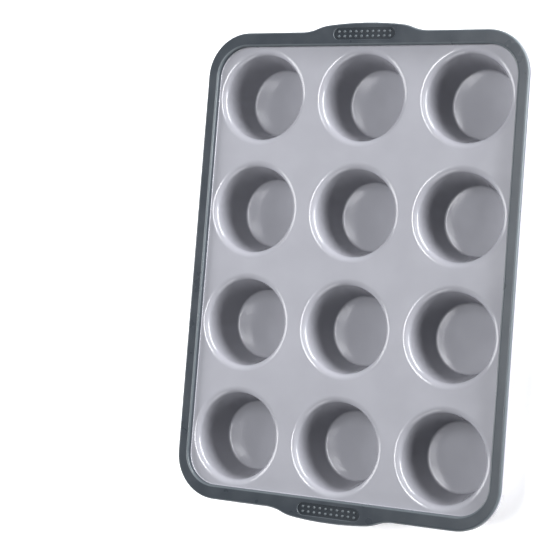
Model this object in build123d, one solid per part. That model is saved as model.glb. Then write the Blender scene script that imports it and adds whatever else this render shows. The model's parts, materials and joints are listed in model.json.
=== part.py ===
"""Twelve-cup silicone muffin pan with a steel-stiffened border in two colours.

The pan lies flat on its cup bottoms. The origin is the middle of its footprint on the surface it
stands on, +X runs across the columns, +Y along the rows towards one handle, +Z out of the cups.
All sizes are in millimetres.
"""
from build123d import *
import os
from math import atan2, cos, degrees, pi, tan

# Cup grid
columns = 3
rows = 4
column_pitch = 80.0
row_pitch = 81.5

# The tray's moulding has one wall thickness, in its deck and its cups
wall = 2.0

# One cup: a tapered wall between a flat floor and a rounded lip
cup_depth = 33.5            # deck surface down to the floor, inside
cup_floor_radius = 24.8     # inside, where the wall's line meets the floor
cup_mouth_radius = 31.5     # inside, where the wall's line meets the deck surface
cup_lip_radius = 4.8        # rounding from the deck into the cup
cup_floor = 2.0
inner_corner_radius = 1.6
outer_corner_radius = 3.2

# Tray: a flat deck inside a border with a raised land and a flange below
window_margin = 0.85        # deck left between the outer cups' lips and the land
window_corner_radius = 22.5
side_border = 8.5           # width of the border along the long sides
end_border = 10.0           # the same at the handle ends
land_rise = 1.7             # land above the deck
flange_drop = 2.7           # bottom of the flange below the deck surface
flange_edge_radius = 1.5

# Handles: a gentle bulge of the border at the middle of each short end
handle_reach = 6.25
crown_drop = 2.1            # fall of the crown from its middle to its shoulders
crown_half_width = 32.6
root_half_width = 43.2
shoulder_radius = 28.0
root_radius = 28.0

# Rim: the second colour, moulded over the land and down its inner side
rim_height = 2.6            # above the land
rim_edge_radius = 1.6
skirt_width = 1.4           # the rim inside the land, down to the deck
grip_length = 48.0
grip_width = 8.6
grip_depth = 0.9
dot_columns = 10
dot_rows = 2
dot_pitch_x = 4.4
dot_pitch_y = 3.4
dot_radius = 0.95
dot_height = 0.75
dot_edge_radius = 0.35

# Steel ring, lying in a channel in the land
wire_radius = 1.5
wire_clearance = 0.1

# Worked out from the values above
taper = atan2(cup_mouth_radius - cup_floor_radius, cup_depth)
cup_opening_radius = cup_mouth_radius + cup_lip_radius * tan(pi / 4 - taper / 2)
deck_z = cup_floor + cup_depth
land_z = deck_z + land_rise
rim_top_z = land_z + rim_height
grip_floor_z = rim_top_z - grip_depth
window_half_x = (columns - 1) / 2 * column_pitch + cup_opening_radius + window_margin
window_half_y = (rows - 1) / 2 * row_pitch + cup_opening_radius + window_margin
outer_half_x = window_half_x + side_border
outer_half_y = window_half_y + end_border
outer_corner = window_corner_radius + (side_border + end_border) / 2
wire_half_x = window_half_x + side_border / 2
wire_half_y = window_half_y + end_border / 2
wire_corner = window_corner_radius + side_border / 2
channel_radius = wire_radius + wire_clearance
wire_z = land_z - channel_radius
grip_y = window_half_y + (end_border + handle_reach) / 2


def save(solid, node):
    solid.label = node
    export_step(solid, f"parts/{node}.step")


def cup_centre(row, column):
    """Row 1 is at the +Y end and column 1 at the -X side."""
    x = (column - 1 - (columns - 1) / 2) * column_pitch
    y = ((rows - 1) / 2 - (row - 1)) * row_pitch
    return x, y


def near(vertices, half_width):
    return [v for v in vertices if abs(abs(v.X) - half_width) < 0.01]


def handle_bulge(side):
    """The area that a handle adds at the end on the given side, before its corners are rounded."""
    crown_y = side * (outer_half_y + handle_reach)
    shoulder_y = crown_y - side * crown_drop
    end_y = side * outer_half_y
    inside_y = side * window_half_y
    crown = ThreePointArc((-crown_half_width, shoulder_y), (0, crown_y), (crown_half_width, shoulder_y))
    rest = Polyline(
        (crown_half_width, shoulder_y),
        (root_half_width, end_y),
        (root_half_width, inside_y),
        (-root_half_width, inside_y),
        (-root_half_width, end_y),
        (-crown_half_width, shoulder_y),
    )
    return make_face(crown + rest)


def border_outline():
    """The pan's outline from above: a rounded rectangle with a bulge at both short ends."""
    outline = RectangleRounded(2 * outer_half_x, 2 * outer_half_y, outer_corner)
    outline = outline + handle_bulge(1) + handle_bulge(-1)
    outline = fillet(near(outline.vertices(), crown_half_width), shoulder_radius)
    return fillet(near(outline.vertices(), root_half_width), root_radius)


def window_outline(grow=0):
    half_x = window_half_x + grow
    half_y = window_half_y + grow
    return RectangleRounded(2 * half_x, 2 * half_y, window_corner_radius + grow)


def wire_path():
    return RectangleRounded(2 * wire_half_x, 2 * wire_half_y, wire_corner).face().outer_wire()


def along_wire(radius, z):
    """A round ring of the given section radius along the wire's centre line."""
    path = Pos(0, 0, z) * wire_path()
    section = Plane(origin=path @ 0, z_dir=path % 0) * Circle(radius)
    return sweep(section, path=path)


def wire_channel():
    """A U-shaped channel round the land, open at the top."""
    outside = offset(Face(wire_path()), channel_radius)
    inside = offset(Face(wire_path()), -channel_radius)
    straight = Pos(0, 0, wire_z) * extrude(outside - inside, channel_radius)
    return straight + along_wire(channel_radius, wire_z)


def cup():
    """One cup, from its lip's tangent line on the deck down to its floor."""
    top = cup_floor + cup_depth
    bottom_radius = cup_floor_radius + wall / cos(taper) - cup_floor * tan(taper)
    lip_centre = (cup_opening_radius, top - cup_lip_radius)
    lip_turn = 90 - degrees(taper)
    lip = CenterArc(lip_centre, cup_lip_radius, 90, lip_turn)
    lip_underside = CenterArc(lip_centre, cup_lip_radius - wall, 90, lip_turn)
    inside = Polyline(lip @ 1, (cup_floor_radius, cup_floor), (0, cup_floor), (0, 0))
    outside = Polyline((0, 0), (bottom_radius, 0), lip_underside @ 1)
    seam = Line(lip_underside @ 0, lip @ 0)
    section = make_face([lip, inside, outside, lip_underside, seam])
    corners = section.vertices()
    floor_corner = corners.sort_by_distance((cup_floor_radius, cup_floor, 0))[0]
    section = fillet(floor_corner, inner_corner_radius)
    corners = section.vertices()
    foot_corner = corners.sort_by_distance((bottom_radius, 0, 0))[0]
    section = fillet(foot_corner, outer_corner_radius)
    return revolve(Plane.XZ * section, Axis.Z)


def tray_deck():
    """The flat web between the cups, inside the border."""
    deck = Pos(0, 0, deck_z - wall) * extrude(window_outline(), wall)
    for row in range(1, rows + 1):
        for column in range(1, columns + 1):
            x, y = cup_centre(row, column)
            deck -= Pos(x, y, deck_z) * Cylinder(cup_opening_radius, 3 * wall)
    return deck


def land():
    """The raised part of the border, which the rim covers from above and on its inner side."""
    return Pos(0, 0, deck_z) * extrude(border_outline() - window_outline(skirt_width), land_rise)


def tray_border():
    """The flange and land round the deck, with the channel that holds the steel ring."""
    bottom_z = deck_z - flange_drop
    flange = Pos(0, 0, bottom_z) * extrude(border_outline() - window_outline(), flange_drop)
    bottom_face = flange.faces().sort_by(Axis.Z)[0]
    flange = fillet(bottom_face.outer_wire().edges(), flange_edge_radius)
    return flange + land() - wire_channel()


def grip_recess(side):
    pocket = Pos(0, side * grip_y, grip_floor_z) * SlotOverall(grip_length, grip_width)
    return extrude(pocket, 2 * grip_depth)


def grip_dots(side):
    """Raised dots on the floor of a grip recess."""
    dot = extrude(Circle(dot_radius), dot_height)
    dot = fillet(dot.edges().sort_by(Axis.Z)[-1], dot_edge_radius)
    dots = []
    for i in range(dot_columns):
        for j in range(dot_rows):
            x = (i - (dot_columns - 1) / 2) * dot_pitch_x
            y = side * grip_y + (j - (dot_rows - 1) / 2) * dot_pitch_y
            dots.append(Pos(x, y, grip_floor_z) * dot)
    return dots


def rim():
    """The rim over the land, rounded at its upper edges, with a dotted grip in each handle."""
    body = Pos(0, 0, deck_z) * extrude(border_outline() - window_outline(), land_rise + rim_height)
    body = fillet(body.faces().sort_by(Axis.Z)[-1].edges(), rim_edge_radius) - land()
    for side in (1, -1):
        body -= grip_recess(side)
        body += grip_dots(side)
    return body


os.makedirs("parts", exist_ok=True)
save(tray_deck(), "tray_deck")
save(tray_border(), "tray_border")
one_cup = cup()
for row in range(1, rows + 1):
    for column in range(1, columns + 1):
        save(Pos(*cup_centre(row, column), 0) * one_cup, f"cup_row{row}_column{column}")
save(along_wire(wire_radius, wire_z), "steel_ring")
save(rim(), "rim")
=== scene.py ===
import bmesh
import bpy
import json
import math
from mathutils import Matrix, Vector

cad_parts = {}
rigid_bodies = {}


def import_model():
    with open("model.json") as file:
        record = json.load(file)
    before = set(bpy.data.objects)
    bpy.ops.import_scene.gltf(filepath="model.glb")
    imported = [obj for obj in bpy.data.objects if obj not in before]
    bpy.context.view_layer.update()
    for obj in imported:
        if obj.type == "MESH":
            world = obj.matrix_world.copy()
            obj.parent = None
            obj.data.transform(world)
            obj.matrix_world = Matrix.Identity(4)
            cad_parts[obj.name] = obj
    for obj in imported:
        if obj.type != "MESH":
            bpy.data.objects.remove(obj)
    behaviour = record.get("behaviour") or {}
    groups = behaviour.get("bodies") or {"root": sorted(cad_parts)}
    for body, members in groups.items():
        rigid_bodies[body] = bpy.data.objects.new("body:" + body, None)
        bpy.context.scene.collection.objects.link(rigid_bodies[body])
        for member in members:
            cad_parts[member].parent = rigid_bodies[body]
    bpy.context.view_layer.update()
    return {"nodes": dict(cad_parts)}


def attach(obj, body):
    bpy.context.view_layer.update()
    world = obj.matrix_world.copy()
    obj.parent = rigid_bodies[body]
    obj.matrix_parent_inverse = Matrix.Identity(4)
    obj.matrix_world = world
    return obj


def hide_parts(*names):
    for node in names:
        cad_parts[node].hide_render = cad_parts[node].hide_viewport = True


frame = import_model()


# Stage, light and camera.
# The pan lies flat on a pale table, seen from above its right side. One long soft box hangs over
# it, two stand low at its right and its front, and a thin strip and a wide box add the highlights.
bpy.ops.object.select_all(action="DESELECT")
bpy.context.scene.view_settings.view_transform = "Standard"
bpy.context.scene.view_settings.gamma = 0.78

table_size = 6.0
table_z = -0.0002
table_glow = 0.25
backdrop_light = 0.03
backdrop_brightness = 1.0
bpy.ops.mesh.primitive_plane_add(size=table_size, location=(0, 0, table_z))
floor = bpy.context.object
floor.name = "table"
table_finish = bpy.data.materials.new("table")
table_finish.use_nodes = True
table_shader = table_finish.node_tree.nodes["Principled BSDF"]
table_shader.inputs["Base Color"].default_value = (0.9, 0.9, 0.91, 1)
table_shader.inputs["Roughness"].default_value = 0.7
table_shader.inputs["Emission Color"].default_value = (1, 1, 1, 1)
table_shader.inputs["Emission Strength"].default_value = table_glow
floor.data.materials.append(table_finish)

# The backdrop looks white to the camera, and lights the pan only a little.
world = bpy.data.worlds.new("studio")
bpy.context.scene.world = world
world.use_nodes = True
world.node_tree.nodes["Background"].inputs["Color"].default_value = (1, 1, 1, 1)
world_light = world.node_tree.nodes["Background"].inputs["Strength"]
seen = world.node_tree.nodes.new("ShaderNodeLightPath").outputs["Is Camera Ray"]
backdrop = world.node_tree.nodes.new("ShaderNodeMapRange")
backdrop.inputs["To Min"].default_value = backdrop_light
backdrop.inputs["To Max"].default_value = backdrop_brightness
world.node_tree.links.new(seen, backdrop.inputs["Value"])
world.node_tree.links.new(backdrop.outputs[0], world_light)


def soft_box(name, place, aim, width, height, watts):
    """Hang a rectangular area light at a place, and turn its face to the aim."""
    data = bpy.data.lights.new(name, "AREA")
    data.shape = "RECTANGLE"
    data.size = width
    data.size_y = height
    data.energy = watts
    lamp = bpy.data.objects.new(name, data)
    bpy.context.scene.collection.objects.link(lamp)
    lamp.location = place
    direction = Vector(aim) - Vector(place)
    lamp.rotation_euler = direction.to_track_quat("-Z", "Y").to_euler()


soft_box("key", (-0.14, 0.15, 1.6), (-0.14, 0, 0), width=0.34, height=1.1, watts=24.5)
soft_box("low_right", (1.1, 0.72, 0.22), (0, 0, 0.03), width=1.6, height=0.4, watts=50)
soft_box("low_front", (0.2, -1.3, 0.3), (0, 0, 0.03), width=1.0, height=0.5, watts=8)
soft_box("strip", (0.66, 0.35, 1.0), (0, 0, 0), width=0.5, height=0.03, watts=0.7)
soft_box("left", (-1.1, 0.0, 0.55), (0, 0, 0), width=0.65, height=0.8, watts=12.5)

camera_place = Vector((0.5113, -0.0426, 1.0606))
camera_aim = Vector((-0.0253, 0.0311, 0.0355))
camera_top = Vector((-0.0386, 0.9950, 0.0918))
camera_data = bpy.data.cameras.new("camera")
camera_data.lens = 107.68
camera_data.sensor_width = 36.0
camera_data.shift_x = -0.0818
camera_data.shift_y = -0.0909
camera = bpy.data.objects.new("camera", camera_data)
bpy.context.scene.collection.objects.link(camera)
back = (camera_place - camera_aim).normalized()
side = camera_top.cross(back).normalized()
top = back.cross(side)
turn = Matrix((side, top, back)).transposed().to_4x4()
camera.matrix_world = Matrix.Translation(camera_place) @ turn
bpy.context.scene.camera = camera


# Rim.
# A satin slate silicone ring moulded onto the tray's land, rounded along both upper edges. Each
# handle has a shallow oval recess with two rows of raised dots for the fingers.
mm = 0.001
tiny = 0.01 * mm
window_half_x = 116.285 * mm
window_half_y = 158.535 * mm
window_corner = 22.5 * mm
side_border = 8.5 * mm
end_border = 10.0 * mm
outer_half_x = window_half_x + side_border
outer_half_y = window_half_y + end_border
outer_corner = window_corner + (side_border + end_border) / 2
handle_reach = 6.25 * mm
crown_drop = 2.1 * mm
crown_half_width = 32.6 * mm
root_half_width = 43.2 * mm
bend_radius = 28.0 * mm
deck_z = 35.5 * mm
land_z = 37.2 * mm
rim_top_z = 39.8 * mm
rim_edge = 1.6 * mm
skirt_width = 1.4 * mm
flat_strip = 0.12 * mm
grip_half_x = 24.0 * mm
grip_half_y = 4.3 * mm
grip_y = window_half_y + (end_border + handle_reach) / 2
grip_floor_z = 38.9 * mm
grip_edge = 0.35 * mm
dot_columns = 10
dot_rows = 2
dot_pitch_x = 4.4 * mm
dot_pitch_y = 3.4 * mm
dot_radius = 0.95 * mm
dot_height = 0.75 * mm
dot_edge = 0.6 * mm
dot_toe = 0.12 * mm
dot_crown_strip = 0.1 * mm
dot_sides = 20
dot_field_half_x = dot_columns * dot_pitch_x / 2
dot_field_half_y = dot_rows * dot_pitch_y / 2
corner_steps = 20
crown_steps = 8
bend_steps = 7
merge_gap = 3 * tiny


def choose(kind, test, open_only=False):
    """Select what passes the test, at every corner, of the mesh in edit mode."""
    bpy.ops.mesh.select_mode(type=kind)
    bpy.ops.mesh.select_all(action="DESELECT")
    shell = bmesh.from_edit_mesh(bpy.context.object.data)
    parts = {"VERT": shell.verts, "EDGE": shell.edges, "FACE": shell.faces}[kind]
    for part in parts:
        corners = [part] if kind == "VERT" else part.verts
        if all(test(v.co) for v in corners) and not (open_only and len(part.link_faces) > 1):
            part.select_set(True)
    bmesh.update_edit_mesh(bpy.context.object.data)


def at_height(z):
    """A test for choose: the point lies at this height."""
    return lambda p: abs(p.z - z) < tiny


def add_plate(half_x, half_y, corner, place):
    """Add a flat plate with round corners to the mesh in edit mode, and leave it selected."""
    bpy.ops.mesh.select_mode(type="VERT")
    bpy.ops.mesh.primitive_plane_add(size=2, location=place)
    bpy.ops.transform.resize(value=(half_x, half_y, 1), center_override=place)
    bpy.ops.mesh.bevel(
        affect="VERTICES", offset=corner, segments=corner_steps, clamp_overlap=False
    )
    bpy.ops.mesh.select_linked()
    bpy.ops.mesh.remove_doubles(threshold=merge_gap)
    bpy.ops.mesh.select_mode(type="FACE")


def add_border_plate(z):
    """The pan's outline from above: a rounded plate with a bulge for the handle at both ends."""
    add_plate(outer_half_x, outer_half_y, outer_corner, (0, 0, z))
    flank_slope = math.atan2(handle_reach - crown_drop, root_half_width - crown_half_width)
    crown_radius = (crown_half_width**2 + crown_drop**2) / (2 * crown_drop)
    crown_slope = math.asin(crown_half_width / crown_radius)
    for end in (1, -1):
        end_y = end * outer_half_y
        crown_y = end_y + end * (handle_reach - crown_drop)
        choose("EDGE", lambda p: abs(p.y - end_y) < tiny)
        bpy.ops.mesh.subdivide(number_cuts=2)
        choose("VERT", lambda p: abs(p.y - end_y) < tiny and abs(p.x) < root_half_width)
        third = (outer_half_x - outer_corner) / 3
        bpy.ops.transform.resize(
            value=(root_half_width / third, 1, 1), center_override=(0, end_y, z)
        )
        choose("EDGE", lambda p: abs(p.y - end_y) < tiny and abs(p.x) < root_half_width + tiny)
        bpy.ops.mesh.extrude_edges_move(TRANSFORM_OT_translate={"value": (0, crown_y - end_y, 0)})
        bpy.ops.transform.resize(
            value=(crown_half_width / root_half_width, 1, 1), center_override=(0, crown_y, z)
        )
        bpy.ops.mesh.subdivide(number_cuts=crown_steps - 1)
        for i in range(crown_steps // 2):
            x = crown_half_width * i * 2 / crown_steps
            rise = crown_drop - crown_radius + math.sqrt(crown_radius**2 - x**2)
            choose("VERT", lambda p: abs(p.y - crown_y) < tiny and abs(abs(p.x) - x) < tiny)
            bpy.ops.transform.translate(value=(0, end * rise, 0))
    bpy.ops.mesh.select_mode(type="FACE")
    bpy.ops.mesh.select_all(action="SELECT")
    bpy.ops.mesh.dissolve_faces()
    shoulder = bend_radius * math.tan((flank_slope - crown_slope) / 2)
    root = bend_radius * math.tan(flank_slope / 2)
    for half_width, reach in ((crown_half_width, shoulder), (root_half_width, root)):
        choose("VERT", lambda p: abs(abs(p.x) - half_width) < tiny and abs(p.y) > window_half_y)
        bpy.ops.mesh.bevel(
            affect="VERTICES", offset=reach, segments=bend_steps, clamp_overlap=False
        )
    bpy.ops.mesh.select_mode(type="FACE")
    bpy.ops.mesh.select_all(action="SELECT")


def step(inwards, outwards):
    """Inset the selected face, and push it out along its normal, or in if the push is negative."""
    bpy.ops.mesh.inset(thickness=inwards, depth=outwards)


def round_off(radius, start, end, steps):
    """Carry the selected face round an arc: 0 heads inwards, 90 out along its normal, -90 in."""
    swing = math.radians(end - start) / steps
    length = 2 * radius * math.sin(abs(swing) / 2)
    for i in range(steps):
        heading = math.radians(start) + (i + 0.5) * swing
        step(length * math.cos(heading), length * math.sin(heading))


def open_loop(inwards=flat_strip):
    """Leave a flat strip inside the selected face, then take the face away."""
    step(inwards, 0)
    bpy.ops.mesh.delete(type="ONLY_FACE")


def close_between(test):
    """Fill the flat area between the open edges that pass the test."""
    choose("EDGE", test, open_only=True)
    bpy.ops.mesh.fill(use_beauty=True)


def start_piece(name):
    """A new piece with an empty mesh at the origin, in edit mode."""
    bpy.ops.mesh.primitive_plane_add(size=1, location=(0, 0, 0))
    bpy.context.object.name = name
    bpy.ops.object.mode_set(mode="EDIT")
    bpy.ops.mesh.delete(type="VERT")
    return bpy.context.object


def finish_piece(piece, finish, smooth_angle=40):
    """Turn all faces outwards, shade the piece smooth, and give it its finish."""
    bpy.ops.mesh.select_all(action="SELECT")
    bpy.ops.mesh.remove_doubles(threshold=tiny / 10)
    bpy.ops.mesh.normals_make_consistent(inside=False)
    bpy.ops.object.mode_set(mode="OBJECT")
    bpy.ops.object.shade_smooth_by_angle(angle=math.radians(smooth_angle))
    piece.data.materials.clear()
    piece.data.materials.append(finish)
    piece.select_set(False)


def add_node(tree, kind, wired=None, **values):
    """Add a shader node. Keywords set its properties, or its inputs by name, with _ for a space."""
    node = tree.nodes.new(kind)
    for name, value in values.items():
        if hasattr(node, name):
            setattr(node, name, value)
        else:
            node.inputs[name.replace("_", " ")].default_value = value
    for name, source in (wired or {}).items():
        tree.links.new(source, node.inputs[name])
    return node


def new_group(name, inputs, outputs):
    """Start a shader node group of float sockets, with its inputs' default values."""
    group = bpy.data.node_groups.new(name, "ShaderNodeTree")
    for socket, value in inputs.items():
        group.interface.new_socket(socket, in_out="INPUT", socket_type="NodeSocketFloat")
        group.interface.items_tree[socket].default_value = value
    for socket in outputs:
        group.interface.new_socket(socket, in_out="OUTPUT", socket_type="NodeSocketFloat")
    return group, add_node(group, "NodeGroupInput"), add_node(group, "NodeGroupOutput")


def new_finish(name, **values):
    """A material with a Principled shader, and the constants set on the shader's own sockets."""
    finish = bpy.data.materials.new(name)
    finish.use_nodes = True
    shader = finish.node_tree.nodes["Principled BSDF"]
    for socket, value in values.items():
        shader.inputs[socket.replace("_", " ")].default_value = value
    return finish, finish.node_tree, shader


# Moulded rubber is never quite even: a slow wave in the surface, a fine grain from the mould's
# steel, and cloudy patches in the pigment. All three are sizes in metres in the group's inputs.
moulding, given, made = new_group(
    "moulding_marks", {"Wave Size": 0.02, "Grain Size": 0.0006, "Cloud Size": 0.03},
    ("Wave", "Grain", "Cloud"),
)
place = add_node(moulding, "ShaderNodeTexCoord").outputs["Object"]
for mark, detail in (("Wave", 1.0), ("Grain", 2.0), ("Cloud", 4.0)):
    scale = add_node(
        moulding, "ShaderNodeMath", {1: given.outputs[f"{mark} Size"]}, operation="DIVIDE"
    )
    scale.inputs[0].default_value = 1.0
    noise = add_node(
        moulding, "ShaderNodeTexNoise", {"Vector": place, "Scale": scale.outputs[0]}, Detail=detail
    )
    moulding.links.new(noise.outputs["Fac"], made.inputs[mark])

# Dust settles in specks on what faces up, and rubber holds on to it.
dust, given, made = new_group("settled_dust", {"Speck Size": 0.0012, "Cover": 0.08}, ("Mask",))
place = add_node(dust, "ShaderNodeTexCoord").outputs["Object"]
scale = add_node(dust, "ShaderNodeMath", {1: given.outputs["Speck Size"]}, operation="DIVIDE")
scale.inputs[0].default_value = 1.0
specks = add_node(dust, "ShaderNodeTexVoronoi", {"Vector": place, "Scale": scale.outputs[0]})
speck = add_node(
    dust, "ShaderNodeMath", {0: given.outputs["Cover"], 1: specks.outputs["Distance"]},
    operation="GREATER_THAN",
)
normal = add_node(dust, "ShaderNodeNewGeometry").outputs["Normal"]
facing = add_node(dust, "ShaderNodeSeparateXYZ", {0: normal}).outputs["Z"]
upward = add_node(dust, "ShaderNodeMapRange", {"Value": facing}, From_Min=0.4, From_Max=1.0)
lying = add_node(
    dust, "ShaderNodeMath", {0: speck.outputs[0], 1: upward.outputs[0]}, operation="MULTIPLY"
)
dust.links.new(lying.outputs[0], made.inputs["Mask"])


def shade_between(tree, dark, light, factor):
    """A colour that runs from dark to light with the factor."""
    mix = add_node(tree, "ShaderNodeMix", data_type="RGBA")
    mix.inputs[6].default_value = (*dark, 1)
    mix.inputs[7].default_value = (*light, 1)
    tree.links.new(factor, mix.inputs[0])
    return mix.outputs[2]


def recolour_where(tree, base, colour, mask):
    """A colour that turns from the base's to the given one where the mask is 1."""
    mix = add_node(tree, "ShaderNodeMix", data_type="RGBA")
    mix.inputs[7].default_value = (*colour, 1)
    tree.links.new(mask, mix.inputs[0])
    tree.links.new(base, mix.inputs[6])
    return mix.outputs[2]


def value_between(tree, low, high, factor):
    """A number that runs from low to high while the factor runs from 0.3 to 0.7."""
    spread = add_node(
        tree, "ShaderNodeMapRange", {"Value": factor},
        From_Min=0.3, From_Max=0.7, To_Min=low, To_Max=high,
    )
    return spread.outputs[0]


def add_group(tree, group, **values):
    """Place a node group in a material, with its own values for the group's inputs."""
    node = add_node(tree, "ShaderNodeGroup", node_tree=group)
    for socket, value in values.items():
        node.inputs[socket.replace("_", " ")].default_value = value
    return node.outputs


def add_relief(tree, shader, heights):
    """Bump the shader's normal with (height, depth in metres) pairs, one on the other."""
    normal = None
    for height, depth in heights:
        bump = add_node(tree, "ShaderNodeBump", {"Height": height}, Strength=1.0, Distance=depth)
        if normal:
            tree.links.new(normal, bump.inputs["Normal"])
        normal = bump.outputs["Normal"]
    tree.links.new(normal, shader.inputs["Normal"])


# The rounded upper edges and the dot tops are painted paler as a painted highlight, and the flat
# recess floors are painted darker as painted shade.
slate_dark = (0.056, 0.065, 0.077)
slate_light = (0.065, 0.075, 0.087)
painted_edge_highlight_tone = (0.128, 0.145, 0.158)
painted_recess_shade_tone = (0.042, 0.050, 0.060)
dust_tone = (0.16, 0.165, 0.17)
highlight_from_z = rim_top_z - 0.5 * mm
edge_top_z = rim_top_z - 0.02 * mm
edge_full_z = rim_top_z - 0.12 * mm
recess_top_z = grip_floor_z + 0.15 * mm
recess_full_z = grip_floor_z + 0.05 * mm
slate_roughness = (0.26, 0.36)
slate_wave = 0.04 * mm
slate_grain = 0.006 * mm

slate_silicone, tree, shader = new_finish("slate_silicone", IOR=1.43)
marks = add_group(tree, moulding, Wave_Size=0.03, Grain_Size=0.0005, Cloud_Size=0.018)
specks = add_group(tree, dust, Speck_Size=0.0016, Cover=0.07)
pigment = value_between(tree, 0.0, 1.0, marks["Cloud"])
slate = shade_between(tree, slate_dark, slate_light, pigment)
place = add_node(tree, "ShaderNodeTexCoord").outputs["Object"]
height = add_node(tree, "ShaderNodeSeparateXYZ", {0: place}).outputs["Z"]
normal = add_node(tree, "ShaderNodeNewGeometry").outputs["Normal"]
facing = add_node(tree, "ShaderNodeSeparateXYZ", {0: normal}).outputs["Z"]
# Painted highlight: this mask lightens the rounded upper edges and the dots, where highlights fall.
raised = add_node(
    tree, "ShaderNodeMapRange", {"Value": height}, From_Min=land_z, From_Max=highlight_from_z
)
level = add_node(
    tree, "ShaderNodeMapRange", {"Value": height}, From_Min=edge_top_z, From_Max=edge_full_z
)
painted_highlight_mask = add_node(
    tree, "ShaderNodeMath", {0: raised.outputs[0], 1: level.outputs[0]}, operation="MULTIPLY"
)
# Painted shade: this mask darkens the flat floors of the grip recesses, where shade falls.
low = add_node(
    tree, "ShaderNodeMapRange", {"Value": height}, From_Min=recess_top_z, From_Max=recess_full_z
)
flat = add_node(tree, "ShaderNodeMapRange", {"Value": facing}, From_Min=0.7, From_Max=0.95)
painted_recess_shade_mask = add_node(
    tree, "ShaderNodeMath", {0: low.outputs[0], 1: flat.outputs[0]}, operation="MULTIPLY"
)
# The painted highlight goes on first, then the painted shade in the recesses, then the dust specks.
slate = recolour_where(tree, slate, painted_edge_highlight_tone, painted_highlight_mask.outputs[0])
slate = recolour_where(tree, slate, painted_recess_shade_tone, painted_recess_shade_mask.outputs[0])
slate = recolour_where(tree, slate, dust_tone, specks["Mask"])
tree.links.new(slate, shader.inputs["Base Color"])
tree.links.new(value_between(tree, *slate_roughness, marks["Cloud"]), shader.inputs["Roughness"])
add_relief(tree, shader, ((marks["Wave"], slate_wave), (marks["Grain"], slate_grain)))


def in_dot_field(p, end):
    """Whether a point is on the recess floor, inside the oblong that the dots fill."""
    inside = abs(p.x) < dot_field_half_x and abs(p.y - end * grip_y) < dot_field_half_y
    return inside and abs(p.z - grip_floor_z) < tiny


rim = start_piece("rim_moulding")
add_border_plate(land_z)
step(0, rim_top_z - land_z - rim_edge)
round_off(rim_edge, start=90, end=0, steps=7)
open_loop()
window_reach = rim_edge + flat_strip
add_plate(
    window_half_x + window_reach, window_half_y + window_reach, window_corner + window_reach,
    (0, 0, rim_top_z),
)
step(flat_strip, 0)
round_off(rim_edge, start=0, end=-90, steps=7)
step(0, -(rim_top_z - deck_z - rim_edge))
bpy.ops.mesh.delete(type="ONLY_FACE")
add_plate(
    window_half_x + skirt_width, window_half_y + skirt_width, window_corner + skirt_width,
    (0, 0, land_z),
)
step(0, -(land_z - deck_z))
bpy.ops.mesh.delete(type="ONLY_FACE")
for end in (1, -1):
    grip_reach = grip_edge + flat_strip
    add_plate(
        grip_half_x + grip_reach, grip_half_y + grip_reach, grip_half_y + grip_reach,
        (0, end * grip_y, rim_top_z),
    )
    step(flat_strip, 0)
    round_off(grip_edge, start=0, end=-90, steps=4)
    step(0, -(rim_top_z - grip_floor_z - grip_edge - dot_toe))
    round_off(dot_toe, start=-90, end=0, steps=3)
    open_loop()
    for i in range(dot_columns):
        for j in range(dot_rows):
            x = (i - (dot_columns - 1) / 2) * dot_pitch_x
            y = end * grip_y + (j - (dot_rows - 1) / 2) * dot_pitch_y
            bpy.ops.mesh.primitive_circle_add(
                vertices=dot_sides, radius=dot_radius + dot_toe + flat_strip, fill_type="NGON",
                location=(x, y, grip_floor_z),
            )
    choose("FACE", lambda p: in_dot_field(p, end))
    step(flat_strip, 0)
    round_off(dot_toe, start=0, end=90, steps=2)
    step(0, dot_height - dot_toe - dot_edge)
    round_off(dot_edge, start=90, end=0, steps=4)
    step(dot_crown_strip, 0)
    close_between(lambda p: abs(p.z - grip_floor_z) < tiny and p.y * end > 0)
close_between(at_height(rim_top_z))
close_between(at_height(land_z))
close_between(at_height(deck_z))
finish_piece(rim, slate_silicone)
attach(rim, "root")
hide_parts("rim")


# Tray.
# One light grey silicone moulding: a flat deck with twelve tapered cups, a low land round the deck
# that carries the rim, a channel in the land for the steel ring, and a flange below it.
column_pitch = 80.0 * mm
row_pitch = 81.5 * mm
columns = 3
rows = 4
wall = 2.0 * mm
cup_floor_radius = 24.8 * mm
cup_mouth_radius = 31.5 * mm
cup_depth = 33.5 * mm
lip = 4.8 * mm
inner_corner = 1.6 * mm
foot_corner = 3.2 * mm
flange_z = deck_z - 2.7 * mm
flange_edge = 1.5 * mm
parting_edge = 0.3 * mm
bead_radius = 0.6 * mm
bead_slope = 75
bead_height = bead_radius * (1 - math.cos(math.radians(bead_slope)))
bead_strip = 0.05 * mm
under_edge = 0.3 * mm
deck_strip = 0.08 * mm
channel_radius = 1.6 * mm
taper = math.atan2(cup_mouth_radius - cup_floor_radius, cup_depth)
lip_turn = 90 - math.degrees(taper)
cup_opening = cup_mouth_radius + lip * math.tan(math.pi / 4 - taper / 2)
cup_rim_steps = 96
# How far outside the window the land's inner strip has ended, and its outer strip not yet begun.
land_inside_channel = end_border / 2 - channel_radius + 10 * tiny
land_outside_channel = side_border / 2 + channel_radius - 5 * tiny
# The deck's bead ends 0.71 mm inside the window, and the outer cups begin 0.77 mm inside it.
bead_foot_limit = 0.74 * mm


def outside_window(p):
    """How far a point is outside the window round the deck."""
    x = max(abs(p.x) - window_half_x + window_corner, 0)
    y = max(abs(p.y) - window_half_y + window_corner, 0)
    return math.hypot(x, y) - window_corner


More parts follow.
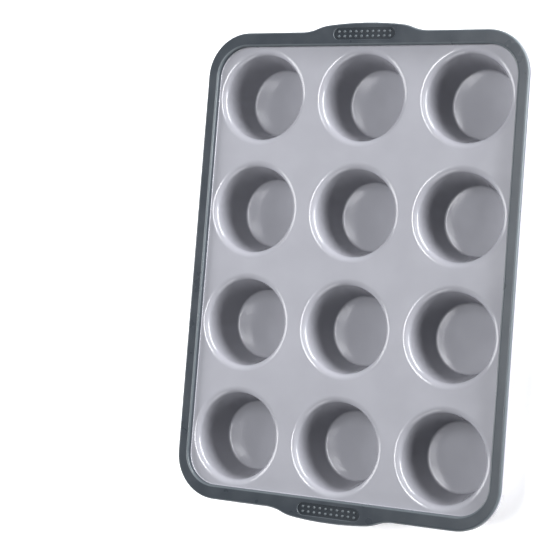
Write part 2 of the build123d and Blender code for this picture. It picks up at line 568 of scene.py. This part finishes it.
def add_cup_plates(radius, z):
    """A round plate at every cup, all selected."""
    for row in range(rows):
        for column in range(columns):
            x = (column - (columns - 1) / 2) * column_pitch
            y = (row - (rows - 1) / 2) * row_pitch
            bpy.ops.mesh.primitive_circle_add(
                vertices=cup_rim_steps, radius=radius, fill_type="NGON", location=(x, y, z)
            )
    choose("FACE", lambda p: abs(p.z - z) < tiny and outside_window(p) < -bead_foot_limit)


def cup_wall(run, outwards):
    """The straight wall below the lip, with short steps at both ends to keep the shading true."""
    for part in (0.02, 0.24, 0.24, 0.24, 0.24, 0.02):
        step(part * run * math.sin(taper), outwards * part * run * math.cos(taper))


# The upper faces come off a polished mould, the undersides off a duller one.
grey_dark = (0.330, 0.333, 0.362)
grey_light = (0.348, 0.351, 0.382)
upper_roughness = (0.13, 0.20)
under_roughness = (0.34, 0.42)
grey_wave = 0.12 * mm
grey_grain = 0.002 * mm

light_silicone, tree, shader = new_finish("light_silicone", IOR=1.45)
marks = add_group(tree, moulding, Wave_Size=0.022, Grain_Size=0.0004, Cloud_Size=0.03)
pigment = value_between(tree, 0.0, 1.0, marks["Cloud"])
grey = shade_between(tree, grey_dark, grey_light, pigment)
tree.links.new(grey, shader.inputs["Base Color"])
normal = add_node(tree, "ShaderNodeNewGeometry").outputs["Normal"]
facing = add_node(tree, "ShaderNodeSeparateXYZ", {0: normal}).outputs["Z"]
upper = add_node(tree, "ShaderNodeMapRange", {"Value": facing}, From_Min=-0.05, From_Max=0.1)
polish = add_node(tree, "ShaderNodeMix")
tree.links.new(upper.outputs[0], polish.inputs[0])
tree.links.new(value_between(tree, *under_roughness, marks["Cloud"]), polish.inputs[2])
tree.links.new(value_between(tree, *upper_roughness, marks["Cloud"]), polish.inputs[3])
tree.links.new(polish.outputs[0], shader.inputs["Roughness"])
add_relief(tree, shader, ((marks["Wave"], grey_wave), (marks["Grain"], grey_grain)))

tray = start_piece("tray_moulding")
add_border_plate(land_z - parting_edge)
bpy.ops.mesh.duplicate()
bpy.ops.mesh.flip_normals()
step(0, land_z - parting_edge - flange_z - flange_edge)
round_off(flange_edge, start=90, end=0, steps=6)
open_loop()
choose("FACE", at_height(land_z - parting_edge))
round_off(parting_edge, start=90, end=0, steps=3)
bpy.ops.mesh.delete(type="ONLY_FACE")

add_plate(
    window_half_x + side_border / 2 + channel_radius,
    window_half_y + end_border / 2 + channel_radius,
    window_corner + side_border / 2 + channel_radius,
    (0, 0, land_z),
)
step(0, -channel_radius)
round_off(channel_radius, start=-90, end=90, steps=12)
step(0, channel_radius)
bpy.ops.mesh.delete(type="ONLY_FACE")

add_plate(
    window_half_x + skirt_width, window_half_y + skirt_width, window_corner + skirt_width,
    (0, 0, land_z),
)
step(0, -(land_z - deck_z))
step(skirt_width, 0)
step(0, bead_height)
step(bead_strip, 0)
round_off(bead_radius, start=-bead_slope, end=0, steps=6)
open_loop(deck_strip)
close_between(lambda p: abs(p.z - land_z) < tiny and outside_window(p) < land_inside_channel)
close_between(lambda p: abs(p.z - land_z) < tiny and outside_window(p) > land_outside_channel)

below_reach = under_edge + flat_strip
add_plate(
    window_half_x + below_reach, window_half_y + below_reach, window_corner + below_reach,
    (0, 0, flange_z),
)
bpy.ops.mesh.flip_normals()
step(flat_strip, 0)
round_off(under_edge, start=0, end=-90, steps=4)
step(0, -(deck_z - wall - flange_z - 2 * under_edge))
round_off(under_edge, start=-90, end=0, steps=4)
open_loop(deck_strip)
close_between(at_height(flange_z))

add_cup_plates(cup_opening + deck_strip, deck_z)
step(deck_strip, 0)
round_off(lip, start=0, end=-lip_turn, steps=12)
corner_reach = inner_corner * math.tan(math.radians(lip_turn) / 2)
lip_drop = lip * (1 - math.sin(taper))
cup_wall((cup_depth - lip_drop) / math.cos(taper) - corner_reach, -1)
round_off(inner_corner, start=-lip_turn, end=0, steps=6)
step(flat_strip, 0)

add_cup_plates(cup_opening + deck_strip, deck_z - wall)
bpy.ops.mesh.flip_normals()
step(deck_strip, 0)
round_off(lip - wall, start=0, end=lip_turn, steps=9)
foot_reach = foot_corner * math.tan(math.radians(lip_turn) / 2)
lip_drop = wall + (lip - wall) * (1 - math.sin(taper))
cup_wall((deck_z - lip_drop) / math.cos(taper) - foot_reach, 1)
round_off(foot_corner, start=lip_turn, end=0, steps=7)
step(flat_strip, 0)
close_between(at_height(deck_z))
close_between(at_height(deck_z - wall))
finish_piece(tray, light_silicone)
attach(tray, "root")
cup_nodes = sorted(name for name in frame["nodes"] if name.startswith("cup_"))
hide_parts("tray_deck", "tray_border", *cup_nodes)


# Steel ring.
# Round stainless wire, bent to the border's shape and welded shut, then laid in the channel in the
# land before the rim is moulded over it. Drawing the wire leaves fine bright and dull patches.
steel_dark = (0.50, 0.50, 0.50)
steel_light = (0.62, 0.62, 0.61)
steel_roughness = (0.22, 0.38)
steel_grain = 0.004 * mm

drawn_steel, tree, shader = new_finish("drawn_steel", Metallic=1.0)
marks = add_group(tree, moulding, Wave_Size=0.004, Grain_Size=0.0003, Cloud_Size=0.006)
tone = value_between(tree, 0.0, 1.0, marks["Cloud"])
tree.links.new(shade_between(tree, steel_dark, steel_light, tone), shader.inputs["Base Color"])
tree.links.new(value_between(tree, *steel_roughness, marks["Grain"]), shader.inputs["Roughness"])
add_relief(tree, shader, ((marks["Grain"], steel_grain),))
steel_ring = frame["nodes"]["steel_ring"]
steel_ring.material_slots[0].material = drawn_steel
